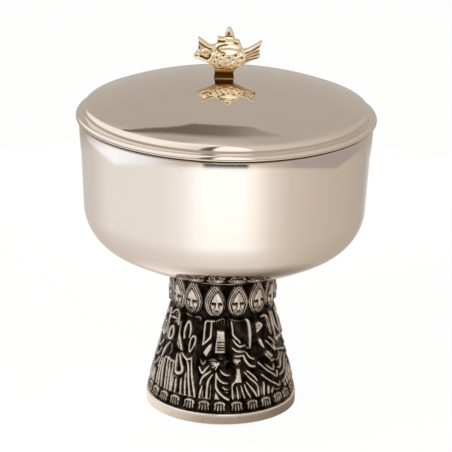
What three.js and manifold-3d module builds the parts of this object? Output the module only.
// Covered ciborium: a spun bowl on a cast foot with a frieze of standing robed figures, and a domed lid with
// a fish for a grip. Millimetres, +Z up, origin at the centre of the foot's flat underside. The front is -Y
// and the fish looks towards -X.
import * as THREE from "three";
import { mergeVertices } from "three/addons/utils/BufferGeometryUtils.js";
import Module from "manifold-3d";

const wasm = await Module();
wasm.setup();

// Foot casting
const footHeight = 70.4; // floor to the top edge that the bowl sits on
const footRadius = 37.6; // plain ring at the floor
const ringHeight = 5.6; // plain ring under the figures' feet
const ringWall = 3.4;
const groundStep = 1.8; // how far the ground behind the figures lies inside the plain ring
const neckRadius = 24; // ground behind the heads
const headBand = 18.4; // height of the band that the heads stand in
const topEdgeRadius = 25.3;
const topEdgeHeight = 1.2;
const footWall = 2.6;
const seatRecess = 9; // depth of the recess in the top of the foot that takes the bowl's boss
const seatWall = 3; // wall round that recess
const webThickness = 4;

// Figures of the frieze. Each height in a figure is a distance down from its shoulders
const figureCount = 14;
const firstFigure = -0.24; // where the first stands, in sectors from the front
const figureSpread = 0.94; // share of its own sector that a robe fills at the hem
const reliefSink = 1; // how deep each carved form runs into the wall behind it
const feetHeight = 7.4;
const footWidth = 5;
const toeCount = 3;
const footReach = 1.6; // how far the feet stand off the ground
const robeReach = 1.4; // the same for a robe between its folds
const foldHeight = 0.8;
const foldCount = 4;
const shoulderWidth = 9.6;
const neckGap = 0.8; // between the shoulders and the point of the beard
const headLength = 15.4;
const faceWidth = 8;
const hoodBorder = 1.2;
const headReach = 2;
const sleeveThickness = 2.4;
const mantleFoldWidth = 1;
const handWidth = 3;
const bookWidth = 4.6;
const bookHeight = 11.2;
const scrollRadius = 0.9; // at the top, and twice that at its open end
const scrollLength = 9;
const staffRadius = 0.8;
const casketSide = 4.4;
const casketTilt = 0.4; // radians
const jarWidth = 3.6;
const jarHeight = 6;
const heldReach = 1.8; // how far what is held stands off the ground

// Bowl
const bowlRimRadius = 72.5;
const bowlRimHeight = 147; // floor to the rim
const bowlLean = 0.059; // how far the wall leans out for each millimetre of height
const bowlCornerRadius = 25;
const bowlBottomRadius = 115;
const bowlWall = 1.2;
const lipThickness = 2.2;
const lipHeight = 3;
const lipEdge = 0.5; // rounding of the lip's outer edge

// Lid
const lidOverhang = 1.5; // how far the flange stands out beyond the bowl's rim
const flangeHeight = 3.5;
const flangeRollRadius = 1.9;
const grooveFillet = 0.8; // hollow between the flange and the shoulder
const shoulderStep = 3.4; // how far the shoulder lies inside the flange's edge
const shoulderRollRadius = 3.4;
const shoulderRise = 4.4; // the shoulder roll's centre above the rim
const shoulderWall = 1.9;
const domeRadius = 176;
const lidWall = 1.2;
const crownFlatRadius = 7; // flat at the crown that the fish stands on
const collarDepth = 6.5;
const collarWall = 1.2;
const collarChamfer = 0.5;

// Finial
const fishLength = 33.3; // jaw to tail
const fishHeight = 21.5; // top of the post to the point of the crest
const fishThickness = 4.4;
const fishBevel = 0.5;
const postWidth = 8.6;
const postDepth = 6.4;
const postHeight = 3.6;
const postOffset = -1.2; // the post stands a little towards the head
const bellyLength = 20;
const bellyHeight = 9.4;
const bellyReach = 1.5; // how far the belly swells out of the flat outline on each side
const eyeRadius = 1.6;
const scaleRadius = 1.2;
const scaleRows = 2;
const tailRays = 4;
const carvingReach = 0.45; // how far eye, gill, scales and rays stand off what carries them
const loafLength = 12;
const loafHeight = 5.6;

// Fasteners
const studRadius = 4;
const studOverrun = 2.4; // thread that shows below the nut
const bossRadius = 13;
const bossCap = 1.4; // metal over the blind end of the boss's bore
const nutAcrossFlats = 13;
const nutHeight = 6.5;
const washerRadius = 10;
const washerThickness = 1.6;
const screwRadius = 2;
const screwHeadRadius = 3.6;
const screwHeadHeight = 2.4;
const screwSlotWidth = 0.9;
const screwSlotDepth = 1.1;
const screwGrip = 6.5; // length of screw inside the post
const lockWasherThickness = 1.4;
const lockWasherRadius = 7;
const lockWasherSplit = 1;
const lidWasherRadius = 5.4;
const lidWasherThickness = 0.8;

// Clearances
const seatGap = 0.3; // between curved faces that rest on or are soldered to each other
const lidClearance = 0.4; // round the lid's collar in the bowl's mouth
const holeClearance = 0.3; // round each screw or stud in its hole

// Facets
const roundSegments = 40;
const boreSegments = 12;
const arcSteps = 4;
const facetsPerFigure = 2; // on the wall behind the frieze

const materials = {
  antiqueSilver: new THREE.MeshStandardMaterial({ color: 0x8d867d, roughness: 0.42, metalness: 1 }),
  polishedSilver: new THREE.MeshStandardMaterial({ color: 0xd9d0c6, roughness: 0.08, metalness: 1 }),
  gilt: new THREE.MeshStandardMaterial({ color: 0xe2bd6e, roughness: 0.16, metalness: 1 }),
  brass: new THREE.MeshStandardMaterial({ color: 0xb8964f, roughness: 0.35, metalness: 1 }),
  steel: new THREE.MeshStandardMaterial({ color: 0xa9a9a6, roughness: 0.35, metalness: 1 }),
};

// Heights and radii that follow from the sizes above
const sag = (radius, r) => radius - Math.sqrt(radius * radius - r * r);
const bowlBottomZ = footHeight + seatGap - sag(bowlBottomRadius, topEdgeRadius);
const webTop = footHeight - seatRecess;
const webBottom = webTop - webThickness;
const washerBottom = webBottom - washerThickness;
const lockWasherBottom = washerBottom - lockWasherThickness;
const nutBottom = lockWasherBottom - nutHeight;
const shoulderZ = footHeight - headBand;
const hemZ = ringHeight + feetHeight;
const lipInnerRadius = bowlRimRadius - lipThickness;
const collarRadius = lipInnerRadius - lidClearance;
const lidRadius = bowlRimRadius + lidOverhang;
const shoulderRadius = lidRadius - shoulderStep;
const shoulderCentre = [shoulderRadius - shoulderRollRadius, bowlRimHeight + shoulderRise];
const domeDrop = Math.sqrt((domeRadius - shoulderRollRadius) ** 2 - shoulderCentre[0] ** 2);
const domeCentreZ = shoulderCentre[1] - domeDrop;
const domeHeight = (depth) => domeCentreZ + Math.sqrt((domeRadius - depth) ** 2 - crownFlatRadius ** 2);
const crownZ = domeHeight(0);
const underCrownZ = domeHeight(lidWall);
const studHole = studRadius + holeClearance;
const screwHole = screwRadius + holeClearance;

// Solids from closed three.js geometry, for cutting and joining
function solidOf(geometry) {
  const bare = geometry.clone();
  for (const name of Object.keys(bare.attributes)) {
    if (name !== "position") bare.deleteAttribute(name);
  }
  const merged = mergeVertices(bare, 1e-4);
  return new wasm.Manifold(
    new wasm.Mesh({
      numProp: 3,
      vertProperties: new Float32Array(merged.attributes.position.array),
      triVerts: new Uint32Array(merged.index.array),
    }),
  );
}

function geometryOf(solid) {
  const mesh = solid.getMesh();
  const geometry = new THREE.BufferGeometry();
  geometry.setAttribute("position", new THREE.BufferAttribute(new Float32Array(mesh.vertProperties), 3));
  geometry.setIndex(new THREE.BufferAttribute(new Uint32Array(mesh.triVerts), 1));
  const flat = geometry.toNonIndexed();
  flat.computeVertexNormals();
  return flat;
}

// Joins forms that overlap, and fills any pocket that they close off between them, as a casting would
function cast(forms) {
  const outer = wasm.Manifold.union(forms)
    .decompose()
    .filter((body) => body.volume() > 0);
  return wasm.Manifold.union(outer);
}

// Turns a profile of [radius, height] points round the axis. The metal lies on the left of its run
function turned(profile, segments = roundSegments) {
  const points = profile.map(([r, z]) => new THREE.Vector2(r, z));
  return new THREE.LatheGeometry(points, segments).rotateX(Math.PI / 2);
}

function disc(radius, bottom, top, segments = boreSegments) {
  return turned([[0, bottom], [radius, bottom], [radius, top], [0, top]], segments);
}

function washer(inner, outer, bottom, top) {
  const profile = [[inner, bottom], [outer, bottom], [outer, top], [inner, top], [inner, bottom]];
  return turned(profile, boreSegments * 2);
}

// Points on an arc round centre, from one angle to another, measured from the outward direction
function arc(centre, radius, from, to, steps = arcSteps) {
  return Array.from({ length: steps + 1 }, (_, i) => {
    const angle = from + ((to - from) * i) / steps;
    return [centre[0] + radius * Math.cos(angle), centre[1] + radius * Math.sin(angle)];
  });
}

// The bowl's wall leans out in a straight line, turns in at a corner arc and ends in a shallow sphere, each
// tangent to the next. The corner's centre lies beside the wall, at a known reach from the sphere's centre
const leanAngle = Math.atan(bowlLean);
const sphereCentreZ = bowlBottomZ + bowlBottomRadius;
const cornerCentre = (() => {
  const start = [
    bowlRimRadius - bowlCornerRadius * Math.cos(leanAngle),
    bowlRimHeight + bowlCornerRadius * Math.sin(leanAngle),
  ];
  const down = [-Math.sin(leanAngle), -Math.cos(leanAngle)];
  const rise = start[1] - sphereCentreZ;
  const along = start[0] * down[0] + rise * down[1];
  const reach = bowlBottomRadius - bowlCornerRadius;
  const walk = -along + Math.sqrt(along ** 2 - start[0] ** 2 - rise ** 2 + reach ** 2);
  return [start[0] + walk * down[0], start[1] + walk * down[1]];
})();
const cornerAngle = Math.atan2(cornerCentre[1] - sphereCentreZ, cornerCentre[0]);
const wallRadius = (z, depth) => bowlRimRadius - (bowlRimHeight - z) * bowlLean - depth;

// The bowl's curve from its axis up to the end of the corner, offset inwards by depth
function bowlCurve(depth) {
  const sphere = arc([0, sphereCentreZ], bowlBottomRadius - depth, -Math.PI / 2, cornerAngle);
  const corner = arc(cornerCentre, bowlCornerRadius - depth, cornerAngle, -leanAngle);
  sphere[0][0] = 0;
  return [...sphere, ...corner.slice(1)];
}

function bowlShell() {
  const lipBottom = bowlRimHeight - lipHeight;
  const taperEnd = lipBottom - (lipThickness - bowlWall);
  const edgeZ = bowlRimHeight - lipEdge;
  return turned([
    ...bowlCurve(0),
    ...arc([wallRadius(edgeZ, lipEdge), edgeZ], lipEdge, 0, Math.PI / 2, 3),
    [lipInnerRadius, bowlRimHeight],
    [lipInnerRadius, lipBottom],
    [wallRadius(taperEnd, bowlWall), taperEnd],
    ...bowlCurve(bowlWall).reverse(),
  ]);
}

function lidShell() {
  const flangeTop = bowlRimHeight + flangeHeight;
  const rollCentre = [lidRadius - flangeRollRadius, flangeTop - flangeRollRadius];
  const rollStart = -Math.asin((rollCentre[1] - bowlRimHeight) / flangeRollRadius);
  const filletCentre = [shoulderRadius + grooveFillet, flangeTop + grooveFillet];
  const shoulderEnd = Math.atan2(shoulderCentre[1] - domeCentreZ, shoulderCentre[0]);
  const crown = Math.acos(crownFlatRadius / domeRadius);
  const underCrown = Math.acos(crownFlatRadius / (domeRadius - lidWall));
  return turned([
    [screwHole, underCrownZ],
    ...arc([0, domeCentreZ], domeRadius - lidWall, underCrown, shoulderEnd),
    [shoulderRadius - shoulderWall, shoulderCentre[1]],
    [shoulderRadius - shoulderWall, bowlRimHeight],
    ...arc(rollCentre, flangeRollRadius, rollStart, Math.PI / 2, 4),
    ...arc(filletCentre, grooveFillet, -Math.PI / 2, -Math.PI, 2),
    ...arc(shoulderCentre, shoulderRollRadius, 0, shoulderEnd, 3),
    ...arc([0, domeCentreZ], domeRadius, shoulderEnd, crown).slice(1),
    [screwHole, crownZ],
    [screwHole, underCrownZ],
  ]);
}

function lidCollar() {
  const bottom = bowlRimHeight - collarDepth;
  const inner = collarRadius - collarWall;
  return turned([
    [inner, bottom],
    [collarRadius - collarChamfer, bottom],
    [collarRadius, bottom + collarChamfer],
    [collarRadius, bowlRimHeight],
    [inner, bowlRimHeight],
    [inner, bottom],
  ]);
}

// Radius of the ground behind the figures
const hemGround = footRadius - groundStep;
function groundRadius(z) {
  const share = (z - ringHeight) / (shoulderZ - ringHeight);
  return hemGround + (neckRadius - hemGround) * Math.min(share, 1);
}
const sectorWidth = (z) => (2 * Math.PI * groundRadius(z)) / figureCount;

// Carved forms are modelled flat, with x to the viewer's left, y off the ground towards the viewer and z up,
// and are then bent round the foot
function bentRound(geometry, turn) {
  const bent = geometry.clone();
  const position = bent.attributes.position;
  for (let i = 0; i < position.count; i++) {
    const z = position.getZ(i);
    const ground = groundRadius(z);
    const angle = turn - position.getX(i) / ground;
    const r = ground + position.getY(i);
    position.setXYZ(i, r * Math.sin(angle), -r * Math.cos(angle), z);
  }
  return bent;
}

// A closed solid through rows of the same number of points, each row anticlockwise from above at its height
function loft(rows) {
  const count = rows[0].loop.length;
  const positions = rows.flatMap(({ z, loop }) => loop.flatMap(([x, y]) => [x, y, z]));
  const indices = [];
  for (let row = 0; row + 1 < rows.length; row++) {
    for (let i = 0; i < count; i++) {
      const a = row * count + i;
      const b = row * count + ((i + 1) % count);
      indices.push(a, b, b + count, a, b + count, a + count);
    }
  }
  const last = (rows.length - 1) * count;
  const outline = rows[0].loop.map(([x, y]) => new THREE.Vector2(x, y));
  for (const [i, j, k] of THREE.ShapeUtils.triangulateShape(outline, [])) {
    indices.push(i, k, j, last + i, last + j, last + k);
  }
  const geometry = new THREE.BufferGeometry();
  geometry.setAttribute("position", new THREE.Float32BufferAttribute(positions, 3));
  geometry.setIndex(indices);
  return geometry;
}

const point = (x, y, z) => new THREE.Vector3(x, y, z);

const ellipsoid = (width, depth, height, around = 8, up = 6) =>
  new THREE.SphereGeometry(0.5, around, up).rotateX(Math.PI / 2).scale(width, depth, height);

// A round bar that tapers from its first end to its second
function limb(from, to, startRadius, endRadius, sides = 4) {
  const bar = new THREE.CylinderGeometry(endRadius, startRadius, from.distanceTo(to), sides);
  const direction = to.clone().sub(from).normalize();
  const turn = new THREE.Quaternion().setFromUnitVectors(point(0, 1, 0), direction);
  const middle = from.clone().add(to).multiplyScalar(0.5);
  return bar.applyQuaternion(turn).translate(middle.x, middle.y, middle.z);
}

// A robe, narrow at the shoulders and spread at the hem, with upright folds below the knees
const robeWidth = (z) => {
  const down = (shoulderZ - z) / (shoulderZ - hemZ);
  return shoulderWidth + (sectorWidth(hemZ) * figureSpread - shoulderWidth) * down;
};
function robe(kneeDrop) {
  const knee = shoulderZ - kneeDrop;
  const backOf = (z) => [[-robeWidth(z) / 2, -reliefSink], [robeWidth(z) / 2, -reliefSink]];
  const upper = [knee, shoulderZ].map((z) => {
    const half = robeWidth(z) / 2;
    const flat = half * 0.6;
    const edge = robeReach * 0.3;
    return { z, loop: [...backOf(z), [half, edge], [flat, robeReach], [-flat, robeReach], [-half, edge]] };
  });
  const lower = [hemZ, knee].map((z) => {
    const height = z === hemZ ? foldHeight : foldHeight * 0.1;
    const front = Array.from({ length: 2 * foldCount + 1 }, (_, i) => {
      const x = (0.5 - i / (2 * foldCount)) * robeWidth(z);
      return [x, robeReach * (i % 2 ? 1 : 0.6) + (i % 2 ? height : 0)];
    });
    return { z, loop: [...backOf(z), ...front] };
  });
  return [loft(upper), loft(lower)];
}

// A fold of the mantle that hangs in a curve from one shoulder to the other hip. Side 1 starts on the left
function mantleFold(side, startDrop, endDrop) {
  const from = point(side * shoulderWidth * 0.42, robeReach, shoulderZ - startDrop);
  const to = point(-side * shoulderWidth * 0.52, robeReach, shoulderZ - endDrop);
  const low = point(-side * shoulderWidth * 0.1, robeReach + foldHeight * 0.8, shoulderZ - endDrop - 1.5);
  const half = mantleFoldWidth / 2;
  const path = new THREE.QuadraticBezierCurve3(from, low, to);
  return ridge(path, half, 2);
}

// A bar along a path, with its sharp side off the ground
function ridge(path, half, steps) {
  const section = new THREE.Shape().moveTo(-half, -half).lineTo(half, -half).lineTo(0, half * 1.2);
  return new THREE.ExtrudeGeometry(section, { steps, extrudePath: path, bevelEnabled: false });
}

// Bearded face with a straight nose, in a pointed hood. Turn 1 looks to the left
function head(turn) {
  const hoodHalf = faceWidth / 2 + hoodBorder;
  const nose = turn * faceWidth * 0.14;
  // From the beard up to the hood's point: height as a share of the head's length, width as a share of the
  // hood's, and the reach of the cheeks and of the middle as shares of the head's
  const levels = [
    [0, 0.3, 0.7, 0.8],
    [0.24, 0.85, 0.85, 1.05],
    [0.45, 1, 0.9, 1.5],
    [0.66, 0.95, 0.85, 1],
    [1, 0.1, 0.4, 0.4],
  ];
  const rows = levels.map(([share, width, cheek, middle]) => {
    const hood = hoodHalf * width;
    const face = (faceWidth / 2) * width;
    const front = [
      [hood, headReach * 0.5],
      [face, headReach * 0.3],
      [face * 0.55, headReach * cheek],
      [nose, headReach * middle],
      [-face * 0.55, headReach * cheek],
      [-face, headReach * 0.3],
      [-hood, headReach * 0.5],
    ];
    const back = [[-hood, -reliefSink], [hood, -reliefSink]];
    return { z: shoulderZ + neckGap + share * headLength, loop: [...back, ...front] };
  });
  return loft(rows);
}

// One arm, bent at the elbow, with the hand in front of the body. Side 1 is on the left
function arm(side, handDrop, handAcross = 0) {
  const shoulder = point(side * shoulderWidth * 0.4, robeReach * 0.8, shoulderZ - sleeveThickness / 2);
  const elbow = point(side * shoulderWidth * 0.52, robeReach, shoulderZ - (handDrop + 12) / 2);
  const wrist = point(side * handWidth * 0.4 + handAcross, robeReach * 1.1, shoulderZ - handDrop);
  const hand = ellipsoid(handWidth, sleeveThickness, handWidth * 1.1, 4, 2);
  const path = new THREE.CurvePath();
  path.add(new THREE.LineCurve3(shoulder, elbow));
  path.add(new THREE.LineCurve3(elbow, wrist));
  const handX = wrist.x - side * handWidth * 0.3;
  return [ridge(path, sleeveThickness / 2, 3), hand.translate(handX, wrist.y, wrist.z)];
}

// What the figures hold, at a distance across and down from the shoulders
function book(across, drop) {
  const cover = new THREE.BoxGeometry(bookWidth, heldReach + reliefSink, bookHeight);
  return cover.translate(across, (heldReach - reliefSink) / 2, shoulderZ - drop - bookHeight / 2);
}

function scroll(across, drop) {
  const top = point(across, heldReach, shoulderZ - drop);
  return limb(top, point(across, heldReach, shoulderZ - drop - scrollLength), scrollRadius, 2 * scrollRadius);
}

function staff(across) {
  const top = point(across, heldReach, shoulderZ - sleeveThickness);
  return limb(top, point(across, heldReach, hemZ + sleeveThickness), staffRadius, staffRadius);
}

function casket(across, drop) {
  const box = new THREE.BoxGeometry(casketSide, heldReach + reliefSink, casketSide).rotateY(casketTilt);
  return box.translate(across, (heldReach - reliefSink) / 2, shoulderZ - drop);
}

function jar(across, drop) {
  const body = ellipsoid(jarWidth, 2 * heldReach, jarHeight, 6, 3);
  return body.translate(across, heldReach / 2, shoulderZ - drop);
}

// The figures, in turn round the foot from just left of the front, towards the right. Each drop is a distance
// down from the shoulders in millimetres
const poses = [
  () => [...robe(24), head(-1), ...arm(1, 21, -1.8), book(-2.3, 6), mantleFold(1, 26, 37)],
  () => [...robe(26), head(0), ...arm(-1, 21, 2.8), mantleFold(1, 8, 15), scroll(2.4, 24.4)],
  () => [...robe(28), head(0), ...arm(1, 7, 0.9), casket(-1.8, 21), mantleFold(1, 24, 34)],
  () => [...robe(22), head(1), ...arm(-1, 14), staff(2.8), mantleFold(-1, 24, 34)],
  () => [...robe(25), head(0), ...arm(-1, 18), book(1.4, 8), mantleFold(-1, 24, 34)],
  () => [...robe(20), head(-1), ...arm(-1, 18), mantleFold(1, 5, 13), scroll(1, 17)],
  () => [...robe(18), head(0), ...arm(1, 16), ...arm(-1, 16), jar(0.6, 22)],
];

// A foot seen from the front: its toes are upright ridges
function toes(across) {
  const step = footWidth / toeCount;
  const outline = new THREE.Shape().moveTo(-footWidth / 2, -reliefSink);
  for (let i = 0; i < toeCount; i++) {
    const left = i * step - footWidth / 2;
    outline.lineTo(left + step * 0.05, footReach * 0.6);
    outline.lineTo(left + step * 0.5, footReach);
  }
  outline.lineTo(footWidth / 2, footReach * 0.6);
  outline.lineTo(footWidth / 2, -reliefSink);
  const settings = { depth: feetHeight * 0.7, bevelEnabled: false };
  return new THREE.ExtrudeGeometry(outline, settings).translate(across, 0, ringHeight + feetHeight * 0.1);
}

function figure(index) {
  const stride = sectorWidth(ringHeight) / 2;
  const forms = [toes(-stride / 2), toes(stride / 2), ...poses[index % poses.length]()];
  const turn = (2 * Math.PI * (index + firstFigure)) / figureCount;
  return forms.map((form) => solidOf(bentRound(form, turn)));
}

// Hollow and open below, with a web across its top, a recess over that for the bowl's boss, and the frieze
function footCasting() {
  const edgeBottom = footHeight - topEdgeHeight;
  const edgeStep = topEdgeRadius - neckRadius;
  const recess = neckRadius - seatWall;
  const seatDrop = sag(bowlBottomRadius, topEdgeRadius) - sag(bowlBottomRadius, recess);
  const profile = [
    [footRadius - ringWall, 0],
    [footRadius, 0],
    [footRadius, ringHeight],
    [hemGround, ringHeight],
    [neckRadius, shoulderZ],
    [neckRadius, edgeBottom - edgeStep],
    [topEdgeRadius, edgeBottom],
    [topEdgeRadius, footHeight],
    [recess, footHeight - seatDrop],
    [recess, webTop],
    [studHole, webTop],
    [studHole, webBottom],
    [neckRadius - footWall, webBottom],
    [neckRadius - footWall, shoulderZ],
    [hemGround - footWall, ringHeight],
    [footRadius - ringWall, 0],
  ];
  const figures = Array.from({ length: figureCount }, (_, index) => figure(index)).flat();
  return geometryOf(cast([solidOf(turned(profile, figureCount * facetsPerFigure)), ...figures]));
}

// Boss soldered under the bowl, with a blind bore for the stud
const boreTop = bowlBottomZ - seatGap - bossCap;
function bowlBoss() {
  const under = (r) => bowlBottomZ - seatGap + sag(bowlBottomRadius, r);
  const profile = [
    [0, boreTop],
    [studHole, boreTop],
    [studHole, webTop],
    [bossRadius, webTop],
    [bossRadius, under(bossRadius)],
    [bossRadius / 2, under(bossRadius / 2)],
    [0, under(0)],
  ];
  return turned(profile, boreSegments * 2);
}

// Spring washer, split so that it grips
function lockWasher() {
  const ring = washer(studHole, lockWasherRadius, lockWasherBottom, washerBottom);
  const split = new THREE.BoxGeometry(2 * lockWasherRadius, lockWasherSplit, 3 * lockWasherThickness);
  split.translate(lockWasherRadius, 0, (lockWasherBottom + washerBottom) / 2);
  return geometryOf(solidOf(ring).subtract(solidOf(split)));
}

function clampNut() {
  const corner = nutAcrossFlats / 2 / Math.cos(Math.PI / 6);
  const corners = Array.from({ length: 6 }, (_, i) => {
    const angle = (i * Math.PI) / 3;
    return new THREE.Vector2(corner * Math.cos(angle), corner * Math.sin(angle));
  });
  const outline = new THREE.Shape(corners);
  outline.holes.push(new THREE.Path().absarc(0, 0, studHole, 0, 2 * Math.PI, true));
  const settings = { depth: nutHeight, bevelEnabled: false, curveSegments: boreSegments };
  return new THREE.ExtrudeGeometry(outline, settings).translate(0, 0, nutBottom);
}

// A place on the fish: across from its middle as a share of half its length, and up from the post's top as a
// share of its height
const fishX = (share) => (share * fishLength) / 2;
const fishZ = (share) => postHeight + share * fishHeight;

// The fish's outline, from its lower jaw along the belly to the tail, then back over the crest
function fishOutline() {
  const outline = new THREE.Shape();
  const line = (x, z) => outline.lineTo(fishX(x), fishZ(z));
  const curve = (viaX, viaZ, x, z) => outline.quadraticCurveTo(fishX(viaX), fishZ(viaZ), fishX(x), fishZ(z));
  outline.moveTo(fishX(-1), fishZ(0.31));
  outline.quadraticCurveTo(fishX(-0.48), fishZ(0.14), postOffset - postWidth / 2, postHeight);
  outline.lineTo(postOffset + postWidth / 2, postHeight);
  curve(0.45, 0.17, 0.88, 0.325);
  line(0.935, 0.375);
  line(0.905, 0.52);
  line(1, 0.71);
  curve(0.72, 0.53, 0.45, 0.49);
  curve(0.35, 0.56, 0.325, 0.7);
  line(0.18, 0.725);
  curve(0.18, 0.92, 0.03, 1);
  curve(-0.085, 0.9, -0.09, 0.77);
  line(-0.305, 0.79);
  line(-0.31, 0.67);
  curve(-0.36, 0.575, -0.52, 0.58);
  curve(-0.685, 0.63, -0.865, 0.76);
  line(-0.85, 0.55);
  outline.closePath();
  return outline;
}

// Scales on one side of the belly, which stand off it by the same amount from end to end
function scales(side) {
  const flank = fishThickness / 2;
  const pitch = scaleRadius * 1.8;
  const forms = [];
  for (let row = 0; row < scaleRows; row++) {
    const count = Math.floor((bellyLength * 0.8) / pitch) - row;
    for (let i = 0; i < count; i++) {
      const x = (i - (count - 1) / 2) * pitch;
      const swell = bellyReach * (1 - ((2 * x) / bellyLength) ** 2);
      const out = flank + swell - scaleRadius + carvingReach;
      const scale = ellipsoid(2 * scaleRadius, 2 * scaleRadius, 2 * scaleRadius, 5, 3);
      forms.push(scale.translate(x, -side * out, fishZ(0.3) - row * pitch * 0.85));
    }
  }
  return forms;
}

// Eye, gill, scales and tail rays on one side of the fish. Side 1 is the front, -Y
function carving(side) {
  const flank = -side * (fishThickness / 2);
  const stud = (radius, layers) => {
    const turnedBoss = new THREE.CylinderGeometry(radius, radius, fishThickness, 12);
    return turnedBoss.translate(fishX(-0.64), -side * layers * carvingReach, fishZ(0.43));
  };
  const gill = limb(
    point(fishX(-0.49), flank, fishZ(0.23)),
    point(fishX(-0.455), flank, fishZ(0.52)),
    carvingReach * 1.6,
    carvingReach * 1.2,
  );
  const rays = Array.from({ length: tailRays }, (_, i) => {
    const share = i / (tailRays - 1);
    const root = point(fishX(0.52), flank, fishZ(0.42 - 0.16 * share));
    return limb(root, point(fishX(0.925), flank, fishZ(0.61 - 0.28 * share)), carvingReach, carvingReach);
  });
  return [stud(eyeRadius, 1), stud(eyeRadius * 0.45, 2), gill, ...scales(side), ...rays];
}

function fishFinial() {
  const core = fishThickness - 2 * fishBevel;
  const flat = new THREE.ExtrudeGeometry(fishOutline(), {
    depth: core,
    bevelThickness: fishBevel,
    bevelSize: fishBevel,
    bevelOffset: -fishBevel,
    bevelSegments: 1,
    curveSegments: 5,
  });
  const swollen = fishThickness + 2 * bellyReach;
  const root = postHeight + 2; // the post runs up into the belly
  const post = new THREE.BoxGeometry(postWidth, postDepth, root);
  const forms = [
    flat.rotateX(Math.PI / 2).translate(0, core / 2, 0),
    post.translate(postOffset, 0, root / 2),
    ellipsoid(bellyLength, swollen, bellyHeight, 12, 6).translate(0, 0, fishZ(0.03) + bellyHeight / 2),
    ellipsoid(loafLength, swollen, loafHeight, 10, 6).translate(0, 0, fishZ(0.53)),
    ...carving(1),
    ...carving(-1),
  ];
  const hole = disc(screwHole, -1, screwGrip + holeClearance);
  const fish = cast(forms.map(solidOf)).subtract(solidOf(hole));
  return geometryOf(fish).translate(0, 0, crownZ);
}

function finialScrew() {
  const headTop = underCrownZ - lidWasherThickness;
  const headBottom = headTop - screwHeadHeight;
  const body = turned(
    [
      [0, headBottom],
      [screwHeadRadius, headBottom],
      [screwHeadRadius, headTop],
      [screwRadius, headTop],
      [screwRadius, crownZ + screwGrip],
      [0, crownZ + screwGrip],
    ],
    boreSegments,
  );
  const slot = new THREE.BoxGeometry(3 * screwHeadRadius, screwSlotWidth, 2 * screwSlotDepth);
  return geometryOf(solidOf(body).subtract(solidOf(slot.translate(0, 0, headBottom))));
}

function piece(name, geometry, material) {
  const mesh = new THREE.Mesh(geometry, material);
  mesh.name = name;
  return mesh;
}

const underWasher = underCrownZ - lidWasherThickness;
const vessel = new THREE.Group();
vessel.add(
  piece("foot_casting", footCasting(), materials.antiqueSilver),
  piece("bowl_shell", bowlShell(), materials.polishedSilver),
  piece("bowl_boss", bowlBoss(), materials.brass),
  piece("bowl_stud", disc(studRadius, nutBottom - studOverrun, boreTop - seatGap), materials.steel),
  piece("clamp_washer", washer(studHole, washerRadius, washerBottom, webBottom), materials.steel),
  piece("lock_washer", lockWasher(), materials.steel),
  piece("clamp_nut", clampNut(), materials.brass),
);

const lid = new THREE.Group();
lid.add(
  piece("lid_shell", lidShell(), materials.polishedSilver),
  piece("lid_collar", lidCollar(), materials.polishedSilver),
  piece("fish_finial", fishFinial(), materials.gilt),
  piece("finial_washer", washer(screwHole, lidWasherRadius, underWasher, underCrownZ), materials.steel),
  piece("finial_screw", finialScrew(), materials.steel),
);

const ciborium = new THREE.Group();
ciborium.add(vessel, lid);

export default ciborium;
